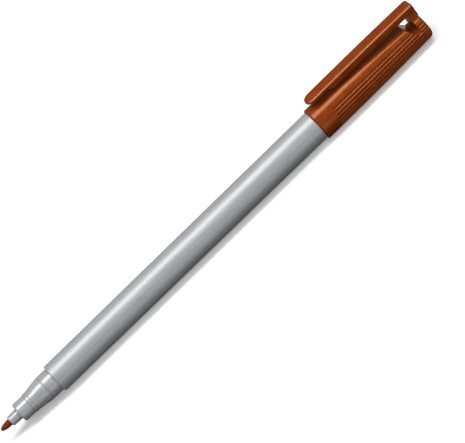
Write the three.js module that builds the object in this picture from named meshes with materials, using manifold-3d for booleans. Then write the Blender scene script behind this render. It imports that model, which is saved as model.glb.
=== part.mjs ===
// Overhead projector marker, lying on its side with the cap posted on the back of the barrel.
// Millimetres, +Z up. The pen's axis runs along X, with the nib towards -X and the cap towards +X.
// The origin is on the surface that the marker lies on, under the middle of its length.
// The clip is on top, so the marker is the same on both sides of the XZ plane.
import * as THREE from 'three';
import { mergeVertices } from 'three/addons/utils/BufferGeometryUtils.js';
import Module from 'manifold-3d';

const wasm = await Module();
wasm.setup();

// Facets round every turned piece. All share one phase, with a flat facing straight down that the
// marker rests on without rolling.
const turnedFacets = 24;
const arcSteps = 3;

// Clearances
const pressClearance = 0.05; // between pieces that are pressed together
const runningClearance = 0.1; // between the cap and what it slides and turns on
const seatGap = 0.1; // between a shoulder and the face that it stops against
const wickClearance = 0.05; // between the fibre pieces and what they sit in

// Nib: a fibre rod with a bullet-shaped point
const nibExposedLength = 3.26;
const nibBaseRadius = 0.975;
const nibPointFullness = 2.2;
const nibPointSteps = 8;
const nibTailInReservoir = 8;

// Nib holder: the sleeve that shows in front of the nose, and its flange and tail inside
const sleeveLength = 3.02;
const sleeveFrontRadius = 1.475;
const sleeveRearRadius = 1.575;
const sleeveEdgeRound = 0.15;
const holderFlangeLength = 1.2;
const holderTailLength = 6;
const holderTailWall = 0.75;
const fluteCount = 4;
const fluteFromNoseFace = 1;
const fluteWidth = 0.5;
const fluteDepth = 0.3;

// Nose section: front cylinder, sealing ring, taper, snap bead, rear cylinder and hidden spigot
const noseFrontRadius = 2.81;
const noseFrontLength = 3.71;
const noseEdgeRound = 0.75;
const noseFrontWall = 5.65;
const ringRadius = 2.99;
const ringLength = 0.85;
const taperFrontRadius = 2.94;
const taperLength = 4.85;
const beadLength = 0.35;
const beadHeight = 0.065;
const noseRearRadius = 3.585;
const noseRearLength = 2.97;
const spigotLength = 8;
const spigotWall = 0.95;

// Barrel: a tube that widens a little towards the cap
const barrelLength = 94.55;
const barrelFrontRadius = 4.2;
const barrelRearRadius = 4.36;
const barrelFrontWall = 0.7;
const barrelFrontRound = 0.55;
const barrelRearRound = 0.3;

// Reservoir: a wick of bonded fibre in a thin film, between the nose and the end plug
const reservoirSlack = 0.4; // between the film and the barrel's bore
const reservoirEndGap = 0.4;
const filmWall = 0.1;

// End plug: pressed into the barrel, with a stub that carries the posted cap
const plugSpigotLength = 7;
const plugStubLength = 7;
const plugWall = 1;
const plugEndRound = 0.4;

// Cap shell
const rimGap = 0.1; // between the barrel's end and the cap's rim
const capLength = 38.7;
const capRimRadius = 4.88;
const capEndRadius = 4.33;
const capTaperPower = 2.2;
const capTaperSteps = 6;
const capRimRound = 0.25;
const capEndRound = 1;
const bandLength = 4.9; // smooth band at the rim, before the ribs
const ribPitchDegrees = 12;
const groovesEachSide = 10; // of the one that faces straight down
const grooveRadius = 0.24;
const grooveSides = 6;
const flatStart = 5.6;
const flatDepthMid = 0.6; // below the body's radius there, halfway to the slot
const flatDepthEnd = 1.05;
const slotStart = 33.55;
const slotLength = 2.7;
const slotFloorLength = 1.1; // the slot's front wall slopes down to this
const slotFloorHeight = 0.45; // above the pen's axis
const slotLipRound = 0.8;
const chamberRadius = 2.7;
const chamberWall = 1.2; // between the chamber's end and the slot

// Inner cap: a blind tube that seals on the nose's ring when the marker is capped
const innerCapStart = 7.9;
const innerCapLength = 12.8;
const innerCapEndWall = 0.8;
const innerCapSealClearance = 0.02;

// Clip: an arm from the cap's end, over a gap, to a rounded tip near the rim
const clipWidth = 4.3;
const clipTipFromRim = 1.5;
const clipOuterHeight = 7.62; // above the pen's axis, at the arm's two ends
const clipBow = 0.13;
const clipThickness = 1.9;
const clipTipThickness = 0.95;
const clipHingeGap = 0.2;
const clipTipPartLength = 6.3; // thin part at the tip
const clipRampLength = 1.9;
const clipPadLength = 3.2;
const clipPadWidth = 2;
const clipPadGap = 0.2; // between the pad and the flat below it
const clipEdgeChamfer = 0.35;
const blockOverhang = 0.3;
const blockEdgeRound = 0.5;

// Places along the pen, from the tip of the nib
const holderX = nibExposedLength;
const noseX = holderX + sleeveLength;
const noseShownLength =
  noseFrontLength + ringLength + taperLength + beadLength + noseRearLength;
const barrelX = noseX + noseShownLength;
const barrelEndX = barrelX + barrelLength;
const rimX = barrelEndX + rimGap;
const plugX = barrelEndX - plugSpigotLength;
const reservoirX = barrelX + spigotLength + seatGap;
const reservoirLength = plugX - reservoirEndGap - reservoirX;
const penLength = rimX + capLength + blockOverhang;

// Radii that follow from the pieces that fit together
const barrelBoreRadius = barrelFrontRadius - barrelFrontWall;
const spigotRadius = barrelBoreRadius - pressClearance;
const noseCavityRadius = spigotRadius - spigotWall;
const beadRadius = noseRearRadius + beadHeight;
const capBoreRadius = beadRadius + runningClearance;
const holderBoreRadius = nibBaseRadius + wickClearance;
const filmRadius = barrelBoreRadius - reservoirSlack;
const wickRadius = filmRadius - filmWall - wickClearance;
const flatFacet = Math.cos(Math.PI / turnedFacets);
const axisHeight = capRimRadius * flatFacet;
const flatMidX = (flatStart + slotStart) / 2;
const deep = 20; // a cutter's size where it reaches past every surface
const past = 1; // how far a cutter runs past the face that it starts or ends at

const silverSatin = new THREE.MeshStandardMaterial({
  color: 0xb4b6b8,
  roughness: 0.42,
  metalness: 0.35,
});
const silverGloss = new THREE.MeshStandardMaterial({
  color: 0xbcbec0,
  roughness: 0.25,
  metalness: 0.35,
});
const brownPlastic = new THREE.MeshStandardMaterial({
  color: 0x8b401c,
  roughness: 0.38,
  metalness: 0,
});
const brownFibre = new THREE.MeshStandardMaterial({
  color: 0x93502a,
  roughness: 0.95,
  metalness: 0,
});
const clearFilm = new THREE.MeshStandardMaterial({
  color: 0xd9dcdd,
  roughness: 0.3,
  metalness: 0,
});

// A closed geometry as a solid that can be joined and cut.
function solidOf(geometry) {
  const bare = geometry.index ? geometry.toNonIndexed() : geometry.clone();
  bare.deleteAttribute('normal');
  bare.deleteAttribute('uv');
  const merged = mergeVertices(bare, 1e-5);
  const triVerts = [];
  for (let i = 0; i < merged.index.count; i += 3) {
    const [a, b, c] = [0, 1, 2].map((k) => merged.index.getX(i + k));
    if (a !== b && b !== c && c !== a) triVerts.push(a, b, c);
  }
  return new wasm.Manifold(
    new wasm.Mesh({
      numProp: 3,
      vertProperties: merged.attributes.position.array,
      triVerts: new Uint32Array(triVerts),
    }),
  );
}

// A named mesh of a solid, with its start at x along the pen.
function pieceOf(name, solid, material, x) {
  const { numProp, numVert, vertProperties, triVerts } = solid.getMesh();
  const position = new Float32Array(numVert * 3);
  for (let i = 0; i < numVert; i++) {
    position.set(vertProperties.subarray(i * numProp, i * numProp + 3), i * 3);
  }
  const geometry = new THREE.BufferGeometry();
  geometry.setAttribute('position', new THREE.BufferAttribute(position, 3));
  geometry.setIndex(new THREE.BufferAttribute(triVerts, 1));
  geometry.computeVertexNormals();
  const mesh = new THREE.Mesh(geometry, material);
  mesh.name = name;
  mesh.position.x = x;
  return mesh;
}

// A turned solid about the X axis. Its outline is a closed loop of [x, radius] points that runs
// along the outside towards +X and back along the inside.
function turned(outline) {
  const points = [...outline, outline[0]].map(([x, radius]) => new THREE.Vector2(radius, x));
  const geometry = new THREE.LatheGeometry(points, turnedFacets, Math.PI / turnedFacets);
  geometry.rotateZ(-Math.PI / 2);
  return solidOf(geometry);
}

// Points of a quarter arc that rounds a corner of a turned outline, from one direction to the other.
function roundedCorner(x, radius, size, startDegrees, endDegrees) {
  const points = [];
  for (let i = 0; i <= arcSteps; i++) {
    const share = i / arcSteps;
    const angle = THREE.MathUtils.degToRad(startDegrees + (endDegrees - startDegrees) * share);
    points.push([x + size * Math.cos(angle), radius + size * Math.sin(angle)]);
  }
  return points;
}

// Rounded outer corner that faces -X, or +X, whose face is at x.
const frontCorner = (x, radius, size) => roundedCorner(x + size, radius - size, size, 180, 90);
const rearCorner = (x, radius, size) => roundedCorner(x - size, radius - size, size, 90, 0);

// A side outline in X and height, extruded across the pen.
function acrossPen(outline, width) {
  const shape = new THREE.Shape(outline.map(([x, height]) => new THREE.Vector2(x, height)));
  const geometry = new THREE.ExtrudeGeometry(shape, { depth: width, bevelEnabled: false });
  geometry.rotateX(Math.PI / 2);
  geometry.translate(0, width / 2, 0);
  return solidOf(geometry);
}

function box(x, lengthX, widthY, lowZ, highZ) {
  const geometry = new THREE.BoxGeometry(lengthX, widthY, highZ - lowZ);
  geometry.translate(x + lengthX / 2, 0, (lowZ + highZ) / 2);
  return solidOf(geometry);
}

// The bullet-shaped point, and the rod behind it that reaches into the reservoir.
function makeNib() {
  const point = [];
  for (let i = 0; i <= nibPointSteps; i++) {
    const share = 1 - i / nibPointSteps;
    const width = (1 - share ** nibPointFullness) ** (1 / nibPointFullness);
    point.push([nibExposedLength * (1 - share), nibBaseRadius * width]);
  }
  const length = reservoirX + nibTailInReservoir;
  return turned([...point, [length, nibBaseRadius], [length, 0]]);
}

// The sleeve, its flange against the nose's inner shoulder and its tail, with air flutes outside.
function makeNibHolder() {
  const flangeX = sleeveLength + noseFrontWall + seatGap;
  const flangeEnd = flangeX + holderFlangeLength;
  const flangeRadius = noseCavityRadius - pressClearance;
  const tailRadius = holderBoreRadius + holderTailWall;
  const tailEnd = flangeEnd + holderTailLength;
  const outline = [
    ...frontCorner(0, sleeveFrontRadius, sleeveEdgeRound),
    [sleeveLength, sleeveRearRadius],
    [flangeX, sleeveRearRadius],
    [flangeX, flangeRadius],
    [flangeEnd, flangeRadius],
    [flangeEnd, tailRadius],
    [tailEnd, tailRadius],
    [tailEnd, holderBoreRadius],
    [0, holderBoreRadius],
  ];
  const fluteX = sleeveLength + fluteFromNoseFace;
  const floor = sleeveRearRadius - fluteDepth;
  let holder = turned(outline);
  for (let i = 0; i < fluteCount; i++) {
    const angle = (360 * i) / fluteCount;
    const flute = box(fluteX, tailEnd, fluteWidth, floor, deep).rotate([angle, 0, 0]);
    holder = holder.subtract(flute);
  }
  return holder;
}

function makeNoseSection() {
  const ringX = noseFrontLength;
  const taperX = ringX + ringLength;
  const beadX = taperX + taperLength;
  const rearX = beadX + beadLength;
  const shoulderX = rearX + noseRearLength;
  const endX = shoulderX + spigotLength;
  const sleeveBore = sleeveRearRadius + pressClearance;
  return turned([
    ...frontCorner(0, noseFrontRadius, noseEdgeRound),
    [ringX, noseFrontRadius],
    [ringX, ringRadius],
    [taperX, ringRadius],
    [taperX, taperFrontRadius],
    [beadX, noseRearRadius],
    [beadX + beadLength / 4, beadRadius],
    [rearX - beadLength / 4, beadRadius],
    [rearX, noseRearRadius],
    [shoulderX - seatGap, noseRearRadius],
    [shoulderX - seatGap, spigotRadius],
    [endX, spigotRadius],
    [endX, noseCavityRadius],
    [noseFrontWall, noseCavityRadius],
    [noseFrontWall, sleeveBore],
    [0, sleeveBore],
  ]);
}

function makeBarrel() {
  return turned([
    ...frontCorner(0, barrelFrontRadius, barrelFrontRound),
    ...rearCorner(barrelLength, barrelRearRadius, barrelRearRound),
    [barrelLength, barrelBoreRadius],
    [0, barrelBoreRadius],
  ]);
}

// The wick, with a bore at its front end for the nib's tail.
function makeReservoir() {
  const tailRadius = nibBaseRadius + wickClearance;
  const boreDepth = nibTailInReservoir + seatGap;
  const outline = [
    [0, wickRadius],
    [reservoirLength, wickRadius],
    [reservoirLength, 0],
    [boreDepth, 0],
    [boreDepth, tailRadius],
    [0, tailRadius],
  ];
  return turned(outline);
}

function makeFilm() {
  const outline = [
    [0, filmRadius],
    [reservoirLength, filmRadius],
    [reservoirLength, filmRadius - filmWall],
    [0, filmRadius - filmWall],
  ];
  return turned(outline);
}

// Spigot, shoulder and stub. The stub repeats the nose's rear cylinder and bead, so the cap's
// bore holds on either end of the marker.
function makeEndPlug() {
  const shoulderX = plugSpigotLength;
  const endX = shoulderX + plugStubLength;
  const beadX = shoulderX + noseRearLength;
  return turned([
    [0, spigotRadius],
    [shoulderX, spigotRadius],
    [shoulderX, noseRearRadius],
    [beadX, noseRearRadius],
    [beadX + beadLength / 4, beadRadius],
    [beadX + beadLength - beadLength / 4, beadRadius],
    [beadX + beadLength, noseRearRadius],
    ...rearCorner(endX, noseRearRadius, plugEndRound),
    [endX, 0],
    [endX - plugWall, 0],
    [endX - plugWall, spigotRadius - plugWall],
    [0, spigotRadius - plugWall],
  ]);
}

// Outer radius of the cap at a distance from its rim.
function capRadiusAt(x) {
  return capRimRadius - (capRimRadius - capEndRadius) * (x / capLength) ** capTaperPower;
}

// Height above the axis of the flat under the clip, a curve through its start, middle and end.
function flatHeightAt(x) {
  const midHeight = capRadiusAt(flatMidX) - flatDepthMid;
  const endHeight = capRadiusAt(slotStart) - flatDepthEnd;
  const curve = new THREE.QuadraticBezierCurve(
    new THREE.Vector2(flatStart, capRadiusAt(flatStart)),
    new THREE.Vector2(flatMidX, 2 * midHeight - (capRadiusAt(flatStart) + endHeight) / 2),
    new THREE.Vector2(slotStart, endHeight),
  );
  const share = THREE.MathUtils.clamp((x - flatStart) / (slotStart - flatStart), 0, 1);
  return curve.getPoint(share).y;
}

// One long groove between two ribs, on top of the cap, before it is turned to its place.
function makeGroove() {
  const section = new THREE.Shape();
  section.absarc(0, 0, grooveRadius, 0, 2 * Math.PI);
  const route = [];
  for (let i = 0; i <= capTaperSteps; i++) {
    const x = bandLength + ((capLength - bandLength) * i) / capTaperSteps;
    route.push(new THREE.Vector3(x, 0, capRadiusAt(x)));
  }
  route.push(new THREE.Vector3(capLength + capEndRound, 0, capEndRadius));
  return solidOf(
    new THREE.ExtrudeGeometry(section, {
      extrudePath: new THREE.CatmullRomCurve3(route),
      steps: capTaperSteps,
      curveSegments: grooveSides / 2,
    }),
  );
}

// The cap's outside: smooth band, ribs, the flat under the clip, the slot and the clip's block.
function makeCapOutside() {
  const side = [];
  for (let i = 1; i < capTaperSteps; i++) {
    const x = (capLength * i) / capTaperSteps;
    side.push([x, capRadiusAt(x)]);
  }
  let outside = turned([
    [0, 0],
    ...frontCorner(0, capRimRadius, capRimRound),
    ...side,
    ...rearCorner(capLength, capEndRadius, capEndRound),
    [capLength, 0],
  ]);
  const groove = makeGroove();
  for (let i = -groovesEachSide; i <= groovesEachSide; i++) {
    outside = outside.subtract(groove.rotate([180 + i * ribPitchDegrees, 0, 0]));
  }
  const flat = [];
  for (let i = 0; i <= capTaperSteps; i++) {
    const x = flatStart + ((slotStart - slotLipRound - flatStart) * i) / capTaperSteps;
    flat.push([x, flatHeightAt(x)]);
  }
  const lipHeight = flatHeightAt(slotStart - slotLipRound);
  const lip = roundedCorner(slotStart - slotLipRound, lipHeight - slotLipRound, slotLipRound, 90, 0);
  const flatCut = acrossPen(
    [
      ...flat,
      ...lip.slice(1),
      [slotStart + slotLength - slotFloorLength, slotFloorHeight],
      [slotStart + slotLength, slotFloorHeight],
      [slotStart + slotLength, flatHeightAt(slotStart)],
      [capLength + past, flatHeightAt(slotStart)],
      [capLength + past, deep],
      [flatStart, deep],
    ],
    deep,
  );
  return outside.subtract(flatCut).add(makeClipBlock());
}

// The clip arm's outer face, a shallow bow between its tip and the cap's end.
function clipOuterAt(x) {
  const share = (x - clipTipFromRim) / (capLength - clipTipFromRim);
  return clipOuterHeight + clipBow * 4 * share * (1 - share);
}

// The block that carries the clip, between the slot and the cap's end.
function makeClipBlock() {
  const x = slotStart + slotLength;
  const endX = capLength + blockOverhang;
  const top = clipOuterAt(capLength);
  const low = flatHeightAt(slotStart) - capEndRound;
  const outline = [
    [x, low],
    [capLength - capEndRound, low],
    [endX, low + capEndRound + blockOverhang],
    ...roundedCorner(endX - blockEdgeRound, top - blockEdgeRound, blockEdgeRound, 0, 90),
    [x, clipOuterAt(x)],
  ];
  return acrossPen(outline, clipWidth).intersect(chamferedBar(x, endX - x));
}

// A long bar of the clip's section, whose two upper edges are chamfered.
function chamferedBar(x, length) {
  const half = clipWidth / 2;
  const top = clipOuterHeight + clipBow;
  const section = new THREE.Shape([
    new THREE.Vector2(half, 0),
    new THREE.Vector2(half, top - clipEdgeChamfer),
    new THREE.Vector2(half - clipEdgeChamfer, top),
    new THREE.Vector2(clipEdgeChamfer - half, top),
    new THREE.Vector2(-half, top - clipEdgeChamfer),
    new THREE.Vector2(-half, 0),
  ]);
  const geometry = new THREE.ExtrudeGeometry(section, { depth: length, bevelEnabled: false });
  geometry.rotateX(Math.PI / 2);
  geometry.rotateZ(Math.PI / 2);
  geometry.translate(x, 0, 0);
  return solidOf(geometry);
}

// The outside, less the bore for the stub and nose, the inner cap's seat and the chamber behind.
function makeCapShell() {
  const seatX = innerCapStart + innerCapLength + seatGap;
  const chamberX = slotStart - chamberWall;
  const bore = turned([
    [-past, 0],
    [-past, capBoreRadius + capRimRound],
    [0, capBoreRadius + capRimRound],
    [capRimRound, capBoreRadius],
    [seatX, capBoreRadius],
    [seatX, chamberRadius],
    [chamberX, chamberRadius],
    [chamberX, 0],
  ]);
  return makeCapOutside().subtract(bore);
}

function makeInnerCap() {
  const outerRadius = capBoreRadius - runningClearance;
  const innerRadius = ringRadius + innerCapSealClearance;
  return turned([
    [0, outerRadius],
    [innerCapLength, outerRadius],
    [innerCapLength, 0],
    [innerCapLength - innerCapEndWall, 0],
    [innerCapLength - innerCapEndWall, innerRadius],
    [0, innerRadius],
  ]);
}

// The arm: its side outline cut to a plan with a round tip. It is thinner at the tip, and a narrow
// pad under it holds what is clipped against the flat.
function makeClipArm() {
  const endX = slotStart + slotLength - clipHingeGap;
  const rampX = clipTipFromRim + clipTipPartLength;
  const padX = rampX + clipRampLength;
  const padEnd = padX + clipPadLength;
  const outer = [];
  for (let i = 0; i <= capTaperSteps; i++) {
    const x = endX + ((clipTipFromRim - endX) * i) / capTaperSteps;
    outer.push([x, clipOuterAt(x)]);
  }
  const side = acrossPen(
    [
      [clipTipFromRim, clipOuterAt(clipTipFromRim) - clipTipThickness],
      [rampX, clipOuterAt(rampX) - clipTipThickness],
      [padX, clipOuterAt(padX) - clipThickness],
      [endX, clipOuterAt(endX) - clipThickness],
      ...outer,
    ],
    clipWidth,
  );
  const padLow = flatHeightAt(padX + clipPadLength / 2) + clipPadGap;
  const padTop = clipOuterAt(padX) - clipThickness / 2;
  const pad = acrossPen(
    [
      [rampX, padTop],
      [padX, padLow],
      [padX + clipPadLength / 2, padLow],
      [padEnd, padTop],
    ],
    clipPadWidth,
  );
  const half = clipWidth / 2;
  const plan = new THREE.Shape();
  plan.moveTo(endX, -half);
  plan.lineTo(endX, half);
  plan.lineTo(clipTipFromRim + half, half);
  plan.absarc(clipTipFromRim + half, 0, half, Math.PI / 2, (3 * Math.PI) / 2, false);
  const geometry = new THREE.ExtrudeGeometry(plan, {
    depth: deep,
    bevelEnabled: false,
    curveSegments: 2 * arcSteps,
  });
  return side.add(pad).intersect(solidOf(geometry)).intersect(chamferedBar(0, endX));
}

const pen = new THREE.Group();
pen.add(
  pieceOf('nib', makeNib(), brownFibre, 0),
  pieceOf('nib_holder', makeNibHolder(), silverGloss, holderX),
  pieceOf('nose_section', makeNoseSection(), silverGloss, noseX),
  pieceOf('barrel', makeBarrel(), silverSatin, barrelX),
  pieceOf('ink_reservoir', makeReservoir(), brownFibre, reservoirX),
  pieceOf('reservoir_film', makeFilm(), clearFilm, reservoirX),
  pieceOf('end_plug', makeEndPlug(), brownPlastic, plugX),
);

const cap = new THREE.Group();
cap.position.x = rimX;
cap.add(
  pieceOf('cap_shell', makeCapShell(), brownPlastic, 0),
  pieceOf('cap_clip', makeClipArm(), brownPlastic, 0),
  pieceOf('inner_cap', makeInnerCap(), brownPlastic, innerCapStart),
);

const marker = new THREE.Group();
marker.add(pen, cap);
marker.position.set(-penLength / 2, 0, axisHeight);

const part = new THREE.Group();
part.add(marker);

export default part;
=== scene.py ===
from math import acos, atan2, cos, degrees, hypot, pi, radians, sin, tau

import bmesh
import bpy
from mathutils import Matrix, Vector, noise


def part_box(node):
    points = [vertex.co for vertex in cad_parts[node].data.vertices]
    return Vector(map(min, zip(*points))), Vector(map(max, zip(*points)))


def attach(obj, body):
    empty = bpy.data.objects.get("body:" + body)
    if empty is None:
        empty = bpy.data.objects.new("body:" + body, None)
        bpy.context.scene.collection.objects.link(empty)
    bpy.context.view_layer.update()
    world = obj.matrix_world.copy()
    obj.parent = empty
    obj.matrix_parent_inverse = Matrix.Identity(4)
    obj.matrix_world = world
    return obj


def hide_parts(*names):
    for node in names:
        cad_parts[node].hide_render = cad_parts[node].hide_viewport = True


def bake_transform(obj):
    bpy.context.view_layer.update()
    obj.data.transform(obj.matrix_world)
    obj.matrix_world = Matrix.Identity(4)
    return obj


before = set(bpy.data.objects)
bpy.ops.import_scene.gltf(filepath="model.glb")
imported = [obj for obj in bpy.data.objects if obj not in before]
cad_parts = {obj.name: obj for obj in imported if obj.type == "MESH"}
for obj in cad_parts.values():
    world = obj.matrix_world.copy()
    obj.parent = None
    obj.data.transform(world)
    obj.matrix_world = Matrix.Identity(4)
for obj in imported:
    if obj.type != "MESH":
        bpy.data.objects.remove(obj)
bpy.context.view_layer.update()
print("stage: frame loaded")

mm = 0.001
penAxis = (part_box("nib")[0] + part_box("nib")[1]) / 2
penAxis.x = 0


# Camera, at the photograph's angle: across the pen from 33 degrees up, with the picture rolled

camera = {
    "distance": 800,
    "elevation": 33,
    "alongPen": -42,
    "aimAlong": 4.1186,
    "aimUp": -2.8546,
    "roll": -41.9956,
    "lens": 239.154,
    "sensorWidth": 36,
}


def makeCamera(c):
    tilt = radians(c["elevation"])
    place = penAxis + Vector((c["alongPen"], -c["distance"] * cos(tilt), c["distance"] * sin(tilt))) * mm
    target = penAxis + Vector((c["aimAlong"], c["aimUp"] * sin(tilt), c["aimUp"] * cos(tilt))) * mm
    ahead = (target - place).normalized()
    right = ahead.cross(Vector((0, 0, 1))).normalized()
    turn = Matrix.Rotation(radians(c["roll"]), 3, -ahead)
    right, up = turn @ right, turn @ right.cross(ahead)
    data = bpy.data.cameras.new("photoCamera")
    data.sensor_width = c["sensorWidth"]
    data.lens = c["lens"]
    data.clip_start = 10 * mm
    obj = bpy.data.objects.new("photoCamera", data)
    bpy.context.scene.collection.objects.link(obj)
    axes = Matrix((right, up, -ahead)).transposed().to_4x4()
    obj.matrix_world = Matrix.Translation(place) @ axes
    bpy.context.scene.camera = obj


makeCamera(camera)
print("stage: camera placed")


# Materials

def linear(hexColour):
    channels = [int(hexColour[i:i + 2], 16) / 255 for i in (1, 3, 5)]
    return [c / 12.92 if c <= 0.04045 else ((c + 0.055) / 1.055) ** 2.4 for c in channels] + [1]


# A noise or wave whose features are this many millimetres across, on Object coordinates in metres.
def perSize(millimetres):
    return 1 / (millimetres * mm)


def addNode(tree, kind, inputs, **settings):
    node = tree.nodes.new("ShaderNode" + kind)
    for name, value in settings.items():
        setattr(node, name, value)
    for name, value in inputs.items():
        if isinstance(value, bpy.types.NodeSocket):
            tree.links.new(value, node.inputs[name])
        else:
            node.inputs[name].default_value = value
    return node


def newMaterial(name, finish):
    material = bpy.data.materials.new(name)
    material.use_nodes = True
    material.diffuse_color = linear(finish["base"])
    tree = material.node_tree
    shader = tree.nodes["Principled BSDF"]
    for socket, value in finish["shader"].items():
        shader.inputs[socket].default_value = value
    return material, tree, shader


noiseLow, noiseHigh = 0.3, 0.7  # nearly all of a noise lies between these


# A colour ramp from the finish's dark to its light colour, over the middle of a noise's range.
def twoTone(tree, factor, finish, span):
    ramp = addNode(tree, "ValToRGB", {"Fac": factor})
    ramp.color_ramp.elements[0].position = span[0]
    ramp.color_ramp.elements[0].color = linear(finish["dark"])
    ramp.color_ramp.elements[1].position = span[1]
    ramp.color_ramp.elements[1].color = linear(finish["light"])
    return ramp.outputs["Color"]


# Moulded polypropylene with fine metallic pigment: a pearly grey that brightens softly towards the light,
# with faint flow streaks along the mould's draw and a soft sheen rather than a mirror.
barrelFinish = {
    "base": "#B4B7BA",
    "dark": "#ACAFB2",
    "light": "#BCBFC2",
    "flake": 0.16,  # real flakes are about 0.04 mm, drawn coarser so that they show
    "streakLength": 9,
    "streakWidth": 0.7,
    "roughness": (0.39, 0.44),
    "bump": 0.012,
    "shader": {"Metallic": 0.32, "IOR": 1.49},
}

# The nose and the sleeve are the same compound, polished in the mould, so their highlights are sharper.
noseFinish = {
    "base": "#B4B7BA",
    "dark": "#ACAFB2",
    "light": "#BCBFC2",
    "flake": 0.14,
    "streakLength": 5,
    "streakWidth": 0.6,
    "roughness": (0.23, 0.29),
    "bump": 0.006,
    "shader": {"Metallic": 0.25, "IOR": 1.49, "Coat Weight": 0.1, "Coat Roughness": 0.1},
}


def pearlPlastic(name, finish):
    material, tree, shader = newMaterial(name, finish)
    place = addNode(tree, "TexCoord", {}).outputs["Object"]
    flakes = addNode(tree, "TexNoise", {"Vector": place, "Scale": perSize(finish["flake"]), "Detail": 2})
    length, width = perSize(finish["streakLength"]), perSize(finish["streakWidth"])
    along = addNode(tree, "Mapping", {"Vector": place, "Scale": (length, width, width)})
    streaks = addNode(tree, "TexNoise", {"Vector": along.outputs["Vector"], "Scale": 1, "Detail": 3})
    tones = addNode(tree, "Mix", {"Factor": 0.45, "A": flakes.outputs["Fac"], "B": streaks.outputs["Fac"]})
    colour = twoTone(tree, tones.outputs["Result"], finish, (0.35, 0.65))
    low, high = finish["roughness"]
    rough = addNode(tree, "MapRange", {
        "Value": streaks.outputs["Fac"], "From Min": noiseLow, "From Max": noiseHigh,
        "To Min": low, "To Max": high,
    })
    bump = addNode(tree, "Bump", {
        "Height": flakes.outputs["Fac"], "Strength": 0.5, "Distance": finish["bump"] * mm,
    })
    tree.links.new(colour, shader.inputs["Base Color"])
    tree.links.new(rough.outputs["Result"], shader.inputs["Roughness"])
    tree.links.new(bump.outputs["Normal"], shader.inputs["Normal"])
    return material


# Moulded polypropylene coloured through in red-brown: satin gloss over a very fine orange peel. Its
# reflections are tinted, so that they stay warm as in the photograph.
capFinish = {
    "base": "#88390C",
    "dark": "#823408",
    "light": "#8E3E10",
    "cloud": 3.5,
    "peel": 0.35,
    "bump": 0.01,
    "roughness": (0.16, 0.22),
    "shader": {"IOR": 1.49, "Specular IOR Level": 0.88, "Specular Tint": (1, 0.55, 0.3, 1)},
}

# The inner cap is a softer, duller polyethylene of the same colour, for sealing.
sealFinish = {
    "base": "#80370F",
    "dark": "#78330F",
    "light": "#883D14",
    "cloud": 2.5,
    "peel": 0.5,
    "bump": 0.016,
    "roughness": (0.48, 0.58),
    "shader": {"IOR": 1.51, "Subsurface Weight": 0.08, "Subsurface Scale": 0.5 * mm,
               "Subsurface Radius": (1, 0.35, 0.15)},
}


def colouredPlastic(name, finish):
    material, tree, shader = newMaterial(name, finish)
    place = addNode(tree, "TexCoord", {}).outputs["Object"]
    clouds = addNode(tree, "TexNoise", {"Vector": place, "Scale": perSize(finish["cloud"]), "Detail": 4})
    peel = addNode(tree, "TexNoise", {"Vector": place, "Scale": perSize(finish["peel"]), "Detail": 2})
    colour = twoTone(tree, clouds.outputs["Fac"], finish, (0.35, 0.65))
    low, high = finish["roughness"]
    rough = addNode(tree, "MapRange", {
        "Value": clouds.outputs["Fac"], "From Min": noiseLow, "From Max": noiseHigh,
        "To Min": low, "To Max": high,
    })
    bump = addNode(tree, "Bump", {
        "Height": peel.outputs["Fac"], "Strength": 0.5, "Distance": finish["bump"] * mm,
    })
    tree.links.new(colour, shader.inputs["Base Color"])
    tree.links.new(rough.outputs["Result"], shader.inputs["Roughness"])
    tree.links.new(bump.outputs["Normal"], shader.inputs["Normal"])
    return material


# Bonded acrylic fibre soaked in ink: a dull wet sheen, with fibres that run along the nib, darker
# pores between them and a few lighter strands where the ink has dried.
nibFinish = {
    "base": "#601F05",
    "dark": "#3A0F02",
    "light": "#8E3B10",
    "fibreLength": 1.6,
    "fibreWidth": 0.12,  # real fibres are about 0.03 mm, drawn coarser so that they show
    "pore": 0.14,
    "bump": 0.05,
    "shader": {"Roughness": 0.5, "IOR": 1.45, "Specular IOR Level": 0.3, "Specular Tint": (1, 0.6, 0.4, 1)},
}

# The wick is bonded polyester fibre, fuller of ink and so darker than the nib.
wickFinish = {
    "base": "#723517",
    "dark": "#552208",
    "light": "#8C4A26",
    "fibreLength": 4,
    "fibreWidth": 0.14,
    "pore": 0.3,
    "bump": 0.06,
    "shader": {"Roughness": 0.9, "IOR": 1.45, "Sheen Weight": 0.15, "Sheen Roughness": 0.6},
}


def inkedFibre(name, finish):
    material, tree, shader = newMaterial(name, finish)
    place = addNode(tree, "TexCoord", {}).outputs["Object"]
    length, width = perSize(finish["fibreLength"]), perSize(finish["fibreWidth"])
    along = addNode(tree, "Mapping", {"Vector": place, "Scale": (length, width, width)})
    fibres = addNode(tree, "TexNoise", {"Vector": along.outputs["Vector"], "Scale": 1, "Detail": 3})
    pores = addNode(tree, "TexNoise", {"Vector": place, "Scale": perSize(finish["pore"]), "Detail": 3})
    mixed = addNode(tree, "Mix", {"Factor": 0.5, "A": fibres.outputs["Fac"], "B": pores.outputs["Fac"]})
    colour = twoTone(tree, mixed.outputs["Result"], finish, (0.38, 0.62))
    bump = addNode(tree, "Bump", {
        "Height": mixed.outputs["Result"], "Strength": 0.8, "Distance": finish["bump"] * mm,
    })
    tree.links.new(colour, shader.inputs["Base Color"])
    tree.links.new(bump.outputs["Normal"], shader.inputs["Normal"])
    return material


# Thin polyester film round the wick: glossy and almost clear, with slight wrinkles from wrapping.
filmFinish = {
    "base": "#D9DCDD",
    "wrinkleLength": 14,
    "wrinkleWidth": 1.1,
    "bump": 0.03,
    "shader": {"Base Color": (0.72, 0.74, 0.75, 1), "Roughness": 0.18, "IOR": 1.5, "Alpha": 0.35},
}


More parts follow.
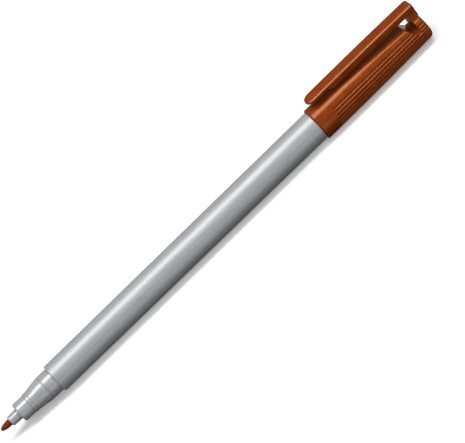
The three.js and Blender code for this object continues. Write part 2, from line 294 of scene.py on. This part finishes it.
def clearFilm(name, finish):
    material, tree, shader = newMaterial(name, finish)
    place = addNode(tree, "TexCoord", {}).outputs["Object"]
    length, width = perSize(finish["wrinkleLength"]), perSize(finish["wrinkleWidth"])
    along = addNode(tree, "Mapping", {"Vector": place, "Scale": (length, width, width)})
    wrinkles = addNode(tree, "TexNoise", {"Vector": along.outputs["Vector"], "Scale": 1, "Detail": 2})
    bump = addNode(tree, "Bump", {
        "Height": wrinkles.outputs["Fac"], "Strength": 0.6, "Distance": finish["bump"] * mm,
    })
    tree.links.new(bump.outputs["Normal"], shader.inputs["Normal"])
    return material


barrelPlastic = pearlPlastic("pearl grey polypropylene, satin moulded", barrelFinish)
nosePlastic = pearlPlastic("pearl grey polypropylene, polished mould", noseFinish)
capPlastic = colouredPlastic("red-brown polypropylene, moulded", capFinish)
sealPlastic = colouredPlastic("red-brown polyethylene, moulded", sealFinish)
nibFibre = inkedFibre("bonded acrylic fibre, inked", nibFinish)
wickFibre = inkedFibre("bonded polyester fibre, inked", wickFinish)
filmPlastic = clearFilm("clear polyester film, wrapped", filmFinish)
print("stage: materials made")


# Shapes are made in millimetres, with X as in the frame and the pen's axis at Y = Z = 0.

toFrame = Matrix.Translation(penAxis) @ Matrix.Scale(mm, 4)


def startOf(node):
    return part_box(node)[0].x / mm


def endOf(node):
    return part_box(node)[1].x / mm


# A turned solid. Each outline point is along, radius and the size of the round on its corner. An open
# outline starts and ends on the axis, and a closed one is the section of a ring.
def turnedShape(startX, outline, turned):
    shape = bmesh.new()
    corners = [(shape.verts.new((startX + along, 0, radius)), rounding)
               for along, radius, rounding in outline]
    verts = [vert for vert, rounding in corners]
    for a, b in zip(verts, verts[1:] + verts[:1] if turned["closed"] else verts[1:]):
        shape.edges.new((a, b))
    for vert, rounding in corners:
        if rounding:
            bmesh.ops.bevel(shape, geom=[vert], offset=rounding, offset_type="OFFSET", affect="VERTICES",
                            segments=turned["cornerSteps"], profile=0.5, material=-1)
    bmesh.ops.spin(shape, geom=shape.verts[:] + shape.edges[:], cent=(0, 0, 0), axis=(1, 0, 0),
                   dvec=(0, 0, 0), angle=tau, steps=turned["steps"], use_merge=True, use_duplicate=False)
    bmesh.ops.remove_doubles(shape, verts=shape.verts[:], dist=1e-4)
    bmesh.ops.recalc_face_normals(shape, faces=shape.faces[:])
    return shape


# A face outline in X and Z, extruded across the pen.
def crossShape(outline, width):
    shape = bmesh.new()
    face = shape.faces.new([shape.verts.new((x, -width / 2, z)) for x, z in outline])
    made = bmesh.ops.extrude_face_region(shape, geom=[face])["geom"]
    farSide = [item for item in made if isinstance(item, bmesh.types.BMVert)]
    bmesh.ops.translate(shape, vec=(0, width, 0), verts=farSide)
    bmesh.ops.recalc_face_normals(shape, faces=shape.faces[:])
    return shape


def objectOf(name, shape):
    bmesh.ops.transform(shape, matrix=toFrame, verts=shape.verts[:])
    mesh = bpy.data.meshes.new(name)
    shape.to_mesh(mesh)
    shape.free()
    obj = bpy.data.objects.new(name, mesh)
    bpy.context.scene.collection.objects.link(obj)
    return obj


def cutBy(obj, cutter):
    cut = obj.modifiers.new("cut", "BOOLEAN")
    cut.operation = "DIFFERENCE"
    cut.solver = "EXACT"
    cut.object = cutter
    bpy.context.view_layer.update()
    shown = obj.evaluated_get(bpy.context.evaluated_depsgraph_get())
    mesh = bpy.data.meshes.new_from_object(shown)
    obj.modifiers.clear()
    obj.data = mesh
    bpy.data.objects.remove(cutter)


def finishPiece(obj, material, nodes, sharpDegrees=38):
    obj.data.materials.clear()
    obj.data.materials.append(material)
    obj.data.shade_smooth()
    obj.data.set_sharp_from_angle(angle=radians(sharpDegrees))
    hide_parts(*nodes)


def smoothStep(share):
    share = min(max(share, 0), 1)
    return share * share * (3 - 2 * share)


def mix(a, b, share):
    return a + (b - a) * share


# Nib

nib = {
    "exposedLength": startOf("nib_holder") - startOf("nib"),
    "length": endOf("nib") - startOf("nib"),
    "radius": 0.975,
    "fullness": 2.2,
    "pointSteps": 22,
    "shaftSteps": 6,
    "steps": 72,
    "grain": 0.012,
    "grainSize": 0.3,
}


def makeNib(n):
    outline = []
    for i in range(n["pointSteps"] + 1):
        share = cos(pi / 2 * i / n["pointSteps"])
        width = (1 - share ** n["fullness"]) ** (1 / n["fullness"])
        outline.append((n["exposedLength"] * (1 - share), n["radius"] * width, 0))
    for i in range(1, n["shaftSteps"] + 1):
        outline.append((mix(n["exposedLength"], n["length"], i / n["shaftSteps"]), n["radius"], 0))
    outline.append((n["length"], 0, 0))
    shape = turnedShape(startOf("nib"), outline, {"closed": False, "steps": n["steps"], "cornerSteps": 1})
    shown = startOf("nib") + n["exposedLength"]
    for vert in shape.verts:
        if vert.co.x < shown:
            vert.co += vert.normal * n["grain"] * noise.noise(vert.co / n["grainSize"])
    obj = objectOf("nibTip", shape)
    finishPiece(obj, nibFibre, ["nib"])
    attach(obj, "pen")


makeNib(nib)


# Sleeve that holds the nib, with its flange and tail inside the nose

sleeve = {
    "frontRadius": 1.475,
    "rearRadius": 1.575,
    "edgeRound": 0.15,
    "shownLength": startOf("nose_section") - startOf("nib_holder"),
    "flangeStart": 8.77,
    "flangeLength": 1.2,
    "flangeRadius": 2.45,
    "flangeRound": 0.1,
    "tailRadius": 1.775,
    "boreRadius": 1.025,
    "fluteWidth": 0.5,
    "fluteFloor": 1.275,
    "fluteDepth": 4,  # well past the surface, so that the cut is open
    "fluteInset": 1,
    "fluteCount": 4,
    "turned": {"closed": True, "steps": 96, "cornerSteps": 4},
}


def makeSleeve(s):
    length = endOf("nib_holder") - startOf("nib_holder")
    flangeEnd = s["flangeStart"] + s["flangeLength"]
    shape = turnedShape(startOf("nib_holder"), [
        (0, s["frontRadius"], s["edgeRound"]),
        (s["shownLength"], s["rearRadius"], 0),
        (s["flangeStart"], s["rearRadius"], 0),
        (s["flangeStart"], s["flangeRadius"], s["flangeRound"]),
        (flangeEnd, s["flangeRadius"], s["flangeRound"]),
        (flangeEnd, s["tailRadius"], 0),
        (length, s["tailRadius"], s["edgeRound"]),
        (length, s["boreRadius"], 0),
        (0, s["boreRadius"], 0),
    ], s["turned"])
    obj = objectOf("nibSleeve", shape)
    fluteStart = startOf("nose_section") + s["fluteInset"]
    flutes = bmesh.new()
    for i in range(s["fluteCount"]):
        place = Matrix.Translation((fluteStart + length / 2, 0, s["fluteFloor"] + s["fluteDepth"] / 2))
        size = Matrix.Diagonal((length, s["fluteWidth"], s["fluteDepth"], 1))
        turn = Matrix.Rotation(tau * i / s["fluteCount"], 4, "X")
        bmesh.ops.create_cube(flutes, size=1, matrix=turn @ place @ size)
    cutBy(obj, objectOf("fluteCutter", flutes))
    finishPiece(obj, nosePlastic, ["nib_holder"])
    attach(obj, "pen")


makeSleeve(sleeve)


# Nose: front cylinder, sealing ring, taper, snap bead, rear cylinder and the spigot in the barrel

nose = {
    "frontRadius": 2.81,
    "frontLength": 3.71,
    "edgeRound": 0.5,
    "grooveDepth": 0.14,
    "grooveWidth": 0.16,
    "grooveRound": 0.02,
    "ringRadius": 2.99,
    "ringLength": 0.85,
    "ringRounds": (0.06, 0.04),
    "taperFrontRadius": 2.94,
    "taperLength": 4.85,
    "beadLength": 0.35,
    "beadHeight": 0.065,
    "beadRound": 0.05,
    "rearRadius": 3.585,
    "rearLength": 2.97,
    "seatGap": 0.1,
    "spigotRadius": 3.45,
    "spigotRound": 0.3,
    "cavityRadius": 2.5,
    "cavityRound": 0.1,
    "frontWall": 5.65,
    "sleeveBore": 1.625,
    "boreRound": 0.05,
    "turned": {"closed": True, "steps": 128, "cornerSteps": 4},
}


def makeNose(n):
    ringX = n["frontLength"]
    taperX = ringX + n["ringLength"]
    beadX = taperX + n["taperLength"]
    rearX = beadX + n["beadLength"]
    shoulderX = rearX + n["rearLength"] - n["seatGap"]
    endX = endOf("nose_section") - startOf("nose_section")
    beadRadius = n["rearRadius"] + n["beadHeight"]
    shape = turnedShape(startOf("nose_section"), [
        (0, n["frontRadius"], n["edgeRound"]),
        (ringX - n["grooveWidth"], n["frontRadius"], n["grooveRound"]),
        (ringX, n["frontRadius"] - n["grooveDepth"], 0),
        (ringX, n["ringRadius"], n["ringRounds"][0]),
        (taperX, n["ringRadius"], n["ringRounds"][1]),
        (taperX, n["taperFrontRadius"] - n["grooveDepth"], 0),
        (taperX + n["grooveWidth"], n["taperFrontRadius"], n["grooveRound"]),
        (beadX - n["grooveWidth"], n["rearRadius"], n["grooveRound"]),
        (beadX, n["rearRadius"] - n["grooveDepth"], 0),
        (beadX + n["beadLength"] / 4, beadRadius, n["beadRound"]),
        (rearX - n["beadLength"] / 4, beadRadius, n["beadRound"]),
        (rearX, n["rearRadius"] - n["grooveDepth"], 0),
        (rearX + n["grooveWidth"], n["rearRadius"], n["grooveRound"]),
        (shoulderX, n["rearRadius"], 0),
        (shoulderX, n["spigotRadius"], 0),
        (endX, n["spigotRadius"], n["spigotRound"]),
        (endX, n["cavityRadius"], n["cavityRound"]),
        (n["frontWall"], n["cavityRadius"], 0),
        (n["frontWall"], n["sleeveBore"], 0),
        (0, n["sleeveBore"], n["boreRound"]),
    ], n["turned"])
    obj = objectOf("noseCone", shape)
    finishPiece(obj, nosePlastic, ["nose_section"])
    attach(obj, "pen")


makeNose(nose)


# Barrel

barrel = {
    "frontRadius": 4.2,
    "rearRadius": 4.36,
    "frontRound": 0.4,
    "rearRound": 0.3,
    "boreRadius": 3.5,
    "boreRound": 0.1,
    "turned": {"closed": True, "steps": 160, "cornerSteps": 6},
}


def makeBarrel(b):
    length = endOf("barrel") - startOf("barrel")
    shape = turnedShape(startOf("barrel"), [
        (0, b["frontRadius"], b["frontRound"]),
        (length, b["rearRadius"], b["rearRound"]),
        (length, b["boreRadius"], b["boreRound"]),
        (0, b["boreRadius"], b["boreRound"]),
    ], b["turned"])
    obj = objectOf("barrelTube", shape)
    finishPiece(obj, barrelPlastic, ["barrel"])
    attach(obj, "pen")


makeBarrel(barrel)


# End plug: its stub repeats the nose's rear cylinder and bead, and carries the posted cap

plug = {
    "spigotLength": 7,
    "spigotRound": 0.2,
    "wall": 1,
    "endRound": 0.4,
    "rimRound": 0.1,
    "floorRound": 0.3,
    "beadFootRound": 0.03,
    "turned": {"closed": False, "steps": 128, "cornerSteps": 4},
}


def makePlug(p, n):
    endX = endOf("end_plug") - startOf("end_plug")
    shoulderX = p["spigotLength"]
    beadX = shoulderX + n["rearLength"]
    rearX = beadX + n["beadLength"]
    beadRadius = n["rearRadius"] + n["beadHeight"]
    innerRadius = n["spigotRadius"] - p["wall"]
    shape = turnedShape(startOf("end_plug"), [
        (endX, 0, 0),
        (endX, n["rearRadius"], p["endRound"]),
        (rearX, n["rearRadius"], p["beadFootRound"]),
        (rearX - n["beadLength"] / 4, beadRadius, n["beadRound"]),
        (beadX + n["beadLength"] / 4, beadRadius, n["beadRound"]),
        (beadX, n["rearRadius"], p["beadFootRound"]),
        (shoulderX, n["rearRadius"], 0),
        (shoulderX, n["spigotRadius"], 0),
        (0, n["spigotRadius"], p["spigotRound"]),
        (0, innerRadius, p["rimRound"]),
        (endX - p["wall"], innerRadius, p["floorRound"]),
        (endX - p["wall"], 0, 0),
    ], p["turned"])
    obj = objectOf("barrelEndPlug", shape)
    finishPiece(obj, capPlastic, ["end_plug"])
    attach(obj, "pen")


makePlug(plug, nose)
print("stage: pen made")


# Cap shell

blockOverhang = 0.3  # how far the clip's block stands past the cap's end

cap = {
    "rimX": startOf("cap_shell"),
    "length": endOf("cap_shell") - startOf("cap_shell") - blockOverhang,
    "rimRadius": 4.88,
    "endRadius": 4.33,
    "taperPower": 2.2,
    "rimRound": 0.25,
    "endRound": 1,
    "boreRadius": 3.75,
    "seat": 20.8,
    "chamberRadius": 2.7,
    "chamberEnd": 32.35,
    "chamberRound": 0.3,
    "ribPitch": 12,
    "ribsEachSide": 10,
    "ribDepth": 0.42,
    "ribStartLow": 4.6,
    "ribStartHigh": 5.3,
    "ribSlantFrom": 70,  # degrees from straight down, where the ribs begin to start further back
    "ribSlantOver": 45,
    "ribRunIn": 0.4,
    "flatStart": 5.6,
    "flatDepthMid": 0.6,
    "flatDepthEnd": 1.05,
    "flatEdgeRound": 0.3,
    "slotStart": 33.55,
    "slotLength": 2.7,
    "slotFloorLength": 1.1,
    "slotFloorHeight": 0.45,
    "slotLipRound": 0.8,
    "fineFrom": 4.2,  # rings stand closer where the ribs begin
    "fineTo": 6,
    "ringSteps": {"plain": 0.8, "fine": 0.1, "lip": 0.08, "end": 0.5},
    "turned": {"closed": False, "steps": 420, "cornerSteps": 6},
}


def capRadiusAt(c, x):
    return c["rimRadius"] - (c["rimRadius"] - c["endRadius"]) * (max(x, 0) / c["length"]) ** c["taperPower"]


# Height of the flat under the clip: a curve through its start, middle and end that rolls into the slot.
def flatHeightAt(c, x):
    start, end = c["flatStart"], c["slotStart"]
    middle = (start + end) / 2
    startZ = capRadiusAt(c, start)
    endZ = capRadiusAt(c, end) - c["flatDepthEnd"]
    middleZ = 2 * (capRadiusAt(c, middle) - c["flatDepthMid"]) - (startZ + endZ) / 2
    t = min(max((x - start) / (end - start), 0), 1)
    height = startZ * (1 - t) ** 2 + 2 * middleZ * t * (1 - t) + endZ * t * t
    if x < start:
        height += 2 * (startZ - middleZ) / (end - start) * (start - x)
    over = x - (end - c["slotLipRound"])
    if 0 < over <= c["slotLipRound"] + 0.01:
        height -= c["slotLipRound"] - max(c["slotLipRound"] ** 2 - over ** 2, 0) ** 0.5
    return height


# The lower of two heights, with the edge between them rounded.
def softLower(a, b, rounding):
    share = min(max(0.5 + 0.5 * (b - a) / rounding, 0), 1)
    return mix(b, a, share) - rounding * share * (1 - share)


# Depth below a rib's crest, at a share of the pitch from the groove: ribs are arcs with steep sides.
def ribDepthAt(c, share):
    half = radians(c["ribPitch"]) * c["rimRadius"] / 2
    arc = (half * half + c["ribDepth"] ** 2) / (2 * c["ribDepth"])
    across = half * (1 - 2 * abs(share))
    return arc - (arc * arc - across * across) ** 0.5


def shapeCapVert(c, vert):
    x = vert.co.x - c["rimX"]
    radius = hypot(vert.co.y, vert.co.z)
    if radius < c["boreRadius"] + c["rimRound"] or x < c["rimRound"]:
        return
    fromBelow = degrees(acos(max(-1, min(1, -vert.co.z / radius))))
    turn = fromBelow / c["ribPitch"]
    if turn < c["ribsEachSide"] + 0.5:
        slant = smoothStep((fromBelow - c["ribSlantFrom"]) / c["ribSlantOver"])
        begin = mix(c["ribStartLow"], c["ribStartHigh"], slant)
        fade = smoothStep((x - begin) / c["ribRunIn"])
        fade *= smoothStep((radius - (c["endRadius"] - c["endRound"])) / c["endRound"])
        newRadius = radius - ribDepthAt(c, turn - round(turn)) * fade
        vert.co.y *= newRadius / radius
        vert.co.z *= newRadius / radius
    if vert.co.z > 0:
        vert.co.z = softLower(vert.co.z, flatHeightAt(c, x), c["flatEdgeRound"])


def stepsBetween(start, end, step):
    count = max(1, round((end - start) / step))
    return [mix(start, end, i / count) for i in range(count)]


def makeCapShell(c):
    bend = c["length"] - c["endRound"]
    lip = c["slotStart"] - c["slotLipRound"]
    stations = []
    for start, end, step in [
        (1, c["fineFrom"], "plain"),
        (c["fineFrom"], c["fineTo"], "fine"),
        (c["fineTo"], lip, "plain"),
        (lip, c["slotStart"], "lip"),
        (c["slotStart"], bend, "end"),
    ]:
        stations += stepsBetween(start, end, c["ringSteps"][step])
    outline = [(0, c["boreRadius"] + c["rimRound"], 0), (0, c["rimRadius"], c["rimRound"])]
    outline += [(x, capRadiusAt(c, x), 0) for x in stations]
    outline += [(c["length"], c["endRadius"], c["endRound"]), (c["length"], 0, 0)]
    inside = [
        (c["chamberEnd"], 0, 0),
        (c["chamberEnd"], c["chamberRadius"], c["chamberRound"]),
        (c["seat"], c["chamberRadius"], 0),
        (c["seat"], c["boreRadius"], 0),
        (c["rimRound"], c["boreRadius"], 0),
    ]
    shape = turnedShape(c["rimX"], inside + outline, c["turned"])
    for vert in shape.verts:
        shapeCapVert(c, vert)
    obj = objectOf("capShell", shape)
    top = 2 * c["rimRadius"]
    slotEnd = c["slotStart"] + c["slotLength"]
    wallTop = flatHeightAt(c, c["slotStart"])
    cutter = crossShape([(c["rimX"] + x, z) for x, z in [
        (c["slotStart"] + 0.01, top),
        (c["slotStart"] + 0.01, wallTop),
        (slotEnd - c["slotFloorLength"], c["slotFloorHeight"]),
        (slotEnd, c["slotFloorHeight"]),
        (slotEnd, top),
    ]], 4 * c["rimRadius"])
    cutBy(obj, objectOf("slotCutter", cutter))
    finishPiece(obj, capPlastic, ["cap_shell"])
    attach(obj, "cap")


makeCapShell(cap)
print("stage: cap shell made")


# Clip: one springy arm and the block that joins it to the cap's end

clip = {
    "width": 4.3,
    "tip": 1.5,
    "outerHeight": 7.62,
    "bow": 0.13,
    "thickness": 1.9,
    "tipThickness": 0.95,
    "tipPartLength": 6.3,
    "rampLength": 1.9,
    "padLength": 3.2,
    "padWidth": 2,
    "padGap": 0.2,
    "padRound": 0.15,
    "overhang": blockOverhang,
    "blockWidth": 3.6,
    "blockLead": 0.02,  # starts this far before the slot's end, so that no two faces lie in one plane
    "blockIntoArm": 0.3,
    "blockAhead": 1,
    "blockFoot": 1,
    "blockInset": 0.05,
    "rootFillet": 0.35,
    "chamferWidth": 0.35,
    "chamferHeight": 0.25,
    "rearRound": 0.8,
    "smallRound": 0.06,
    "sharpDegrees": 30,
    "tipSteps": 14,
    "bowSteps": 12,
    "armStep": 3,  # rings along the arm, closer where it bends
    "bendStart": 33,
    "bendStep": 0.3,
    "blendStart": 37,
    "blendEnd": 34.4,
}

near = 0.01  # millimetres within which two points count as one place


def clipTopAt(k, c, x):
    share = (x - k["tip"]) / (c["length"] - k["tip"])
    return k["outerHeight"] + k["bow"] * 4 * share * (1 - share)


def roundEdges(shape, chosen, size, steps):
    edges = [e for e in shape.edges if chosen(e, [v.co for v in e.verts])]
    bmesh.ops.bevel(shape, geom=edges, offset=size, offset_type="OFFSET", affect="EDGES",
                    segments=steps, profile=0.5, material=-1, clamp_overlap=True)


def addShell(shape, extra):
    mesh = bpy.data.meshes.new("extra")
    extra.to_mesh(mesh)
    extra.free()
    shape.from_mesh(mesh)
    bpy.data.meshes.remove(mesh)


# An outer edge of about a right angle.
def isSharp(edge, ends):
    return len(edge.link_faces) == 2 and edge.calc_face_angle(0) > radians(60) and edge.is_convex


# The arm runs the whole length. Its top face is raised inside a chamfer, which catches the light.
def clipArm(k, c):
    top = lambda x: clipTopAt(k, c, x) - k["chamferHeight"]
    under = lambda x, thickness: clipTopAt(k, c, x) - thickness
    rampX = k["tip"] + k["tipPartLength"]
    fullX = rampX + k["rampLength"]
    endX = c["length"] + k["overhang"]
    outline = [
        (k["tip"], under(k["tip"], k["tipThickness"])),
        (rampX, under(rampX, k["tipThickness"])),
        (fullX, under(fullX, k["thickness"])),
        (endX, under(c["length"], k["thickness"])),
        (endX, top(c["length"])),
    ]
    for i in range(1, k["bowSteps"] + 1):
        x = mix(c["length"], k["tip"], i / k["bowSteps"])
        outline.append((x, top(x)))
    shape = crossShape([(c["rimX"] + x, z) for x, z in outline], k["width"])
    upright = lambda p: abs(p[0].y - p[1].y) < near and abs(p[0].x - p[1].x) < near
    tipX = c["rimX"] + k["tip"] + near
    roundEdges(shape, lambda e, p: upright(p) and p[0].x < tipX, k["width"] / 2 - 2 * near, k["tipSteps"])
    rearX = c["rimX"] + endX - near
    roundEdges(shape, lambda e, p: upright(p) and p[0].x > rearX, k["rearRound"], 6)
    upper = [f for f in shape.faces if f.normal.z > 0.9]
    bmesh.ops.inset_region(shape, faces=upper, thickness=k["chamferWidth"], depth=k["chamferHeight"],
                           use_even_offset=True, use_boundary=True)
    for face in shape.faces:
        face.normal_update()
    roundEdges(shape, isSharp, k["smallRound"], 2)
    return shape


# The block under the arm's rear end is narrower, and a fillet joins its front face to the arm.
def clipBlock(k, c):
    rootX = c["slotStart"] + c["slotLength"] - k["blockLead"]
    underZ = clipTopAt(k, c, rootX) - k["thickness"]
    low = flatHeightAt(c, rootX) - k["blockFoot"]
    rearX = c["length"] + k["overhang"] - k["blockInset"]
    shape = crossShape([(c["rimX"] + x, z) for x, z in [
        (rootX - k["blockAhead"], underZ + k["blockIntoArm"]),
        (rootX - k["blockAhead"], underZ),
        (rootX, underZ),
        (rootX, low),
        (c["length"] - c["endRound"], low),
        (rearX, low + c["endRound"] + k["overhang"]),
        (rearX, underZ + k["blockIntoArm"]),
    ]], k["blockWidth"])
    isRoot = lambda e, p: all(abs(q.x - c["rimX"] - rootX) < near and abs(q.z - underZ) < 2 * near for q in p)
    roundEdges(shape, isRoot, k["rootFillet"], 4)
    isRear = lambda e, p: min(p[0].x, p[1].x) > c["rimX"] + rearX - near and abs(p[0].y - p[1].y) < near
    roundEdges(shape, isRear, k["rearRound"] - 2 * k["blockInset"], 6)
    return shape


# The pad under the arm, which presses on what the clip holds.
def clipPad(k, c):
    rampX = k["tip"] + k["tipPartLength"]
    fullX = rampX + k["rampLength"]
    low = flatHeightAt(c, fullX + k["padLength"] / 2) + k["padGap"]
    high = clipTopAt(k, c, fullX) - k["thickness"] / 2
    shape = crossShape([(c["rimX"] + x, z) for x, z in [
        (rampX, high),
        (fullX, low),
        (fullX + k["padLength"] / 2, low),
        (fullX + k["padLength"], high),
    ]], k["padWidth"])
    roundEdges(shape, isSharp, k["padRound"], 3)
    return shape


def makeClip(k, c):
    shape = clipArm(k, c)
    cuts = stepsBetween(k["armStep"], k["bendStart"], k["armStep"])
    cuts += stepsBetween(k["bendStart"], c["length"], k["bendStep"])
    for x in cuts:
        bmesh.ops.bisect_plane(shape, geom=shape.verts[:] + shape.edges[:] + shape.faces[:], dist=1e-4,
                               plane_co=(c["rimX"] + x, 0, 0), plane_no=(1, 0, 0))
    addShell(shape, clipBlock(k, c))
    addShell(shape, clipPad(k, c))
    obj = objectOf("capClip", shape)
    finishPiece(obj, capPlastic, ["cap_clip"], k["sharpDegrees"])
    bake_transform(obj)


makeClip(clip, cap)
print("stage: clip made")


# The hidden pieces keep their solids

for node, material in {
    "ink_reservoir": wickFibre,
    "reservoir_film": filmPlastic,
    "inner_cap": sealPlastic,
}.items():
    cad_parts[node].data.materials.clear()
    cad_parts[node].data.materials.append(material)


# Floor and light

studio = {
    "floorSize": 6000,
    "floorColour": "#F4F4F4",
    "floorGlow": 0.25,  # a light table: it shines faintly, so shadows on it stay soft
    "boxHeight": 600,
    "boxAcross": 281,
    "boxAlong": 1100,
    "boxShift": -78,
    "boxPower": 4.7,
    "fillHeight": 400,
    "fillAcross": 380,
    "fillShift": -450,
    "fillPower": 1.8,
    # The surroundings' brightness from straight down, 0, to straight up, 1
    "sky": [(0, 0.0), (0.21, 0.03), (0.32, 0.7), (0.5, 0.4), (0.57, 0.1), (1, 0.1)],
}


def makeStudio(s):
    material, tree, shader = newMaterial("pale studio floor", {
        "base": s["floorColour"],
        "shader": {"Roughness": 0.7, "Base Color": linear(s["floorColour"]), "Emission Color": (1, 1, 1, 1),
                   "Emission Strength": s["floorGlow"]},
    })
    shape = bmesh.new()
    bmesh.ops.create_grid(shape, x_segments=4, y_segments=4, size=s["floorSize"] / 2)
    bmesh.ops.translate(shape, vec=(0, 0, -cap["rimRadius"]), verts=shape.verts[:])
    floor = objectOf("studioFloor", shape)
    floor.data.materials.append(material)
    floor.visible_diffuse = False
    floor.visible_glossy = False
    for name, use in ("overheadSoftBox", "box"), ("frontFill", "fill"):
        light = bpy.data.lights.new(name, "AREA")
        light.shape = "RECTANGLE"
        light.size = s["boxAlong"] * mm
        light.size_y = s[use + "Across"] * mm
        light.energy = s[use + "Power"]
        obj = bpy.data.objects.new(name, light)
        obj.location = penAxis + Vector((0, s[use + "Shift"], s[use + "Height"])) * mm
        if use == "fill":
            obj.rotation_euler.x = -atan2(s["fillShift"], s["fillHeight"])
            obj.visible_glossy = False
        bpy.context.scene.collection.objects.link(obj)
    world = bpy.data.worlds.new("paleStudio")
    world.use_nodes = True
    tree = world.node_tree
    place = addNode(tree, "TexCoord", {}).outputs["Generated"]
    height = addNode(tree, "SeparateXYZ", {"Vector": place}).outputs["Z"]
    share = addNode(tree, "MapRange", {"Value": height, "From Min": -1, "From Max": 1}).outputs["Result"]
    ramp = addNode(tree, "ValToRGB", {"Fac": share})
    for i, (position, brightness) in enumerate(s["sky"]):
        if i > 1:
            ramp.color_ramp.elements.new(position)
        ramp.color_ramp.elements[i].position = position
        ramp.color_ramp.elements[i].color = (brightness, brightness, brightness, 1)
    tree.links.new(ramp.outputs["Color"], tree.nodes["Background"].inputs["Color"])
    bpy.context.scene.world = world
    bpy.context.scene.view_settings.view_transform = "Standard"


makeStudio(studio)
print("stage: studio lit")
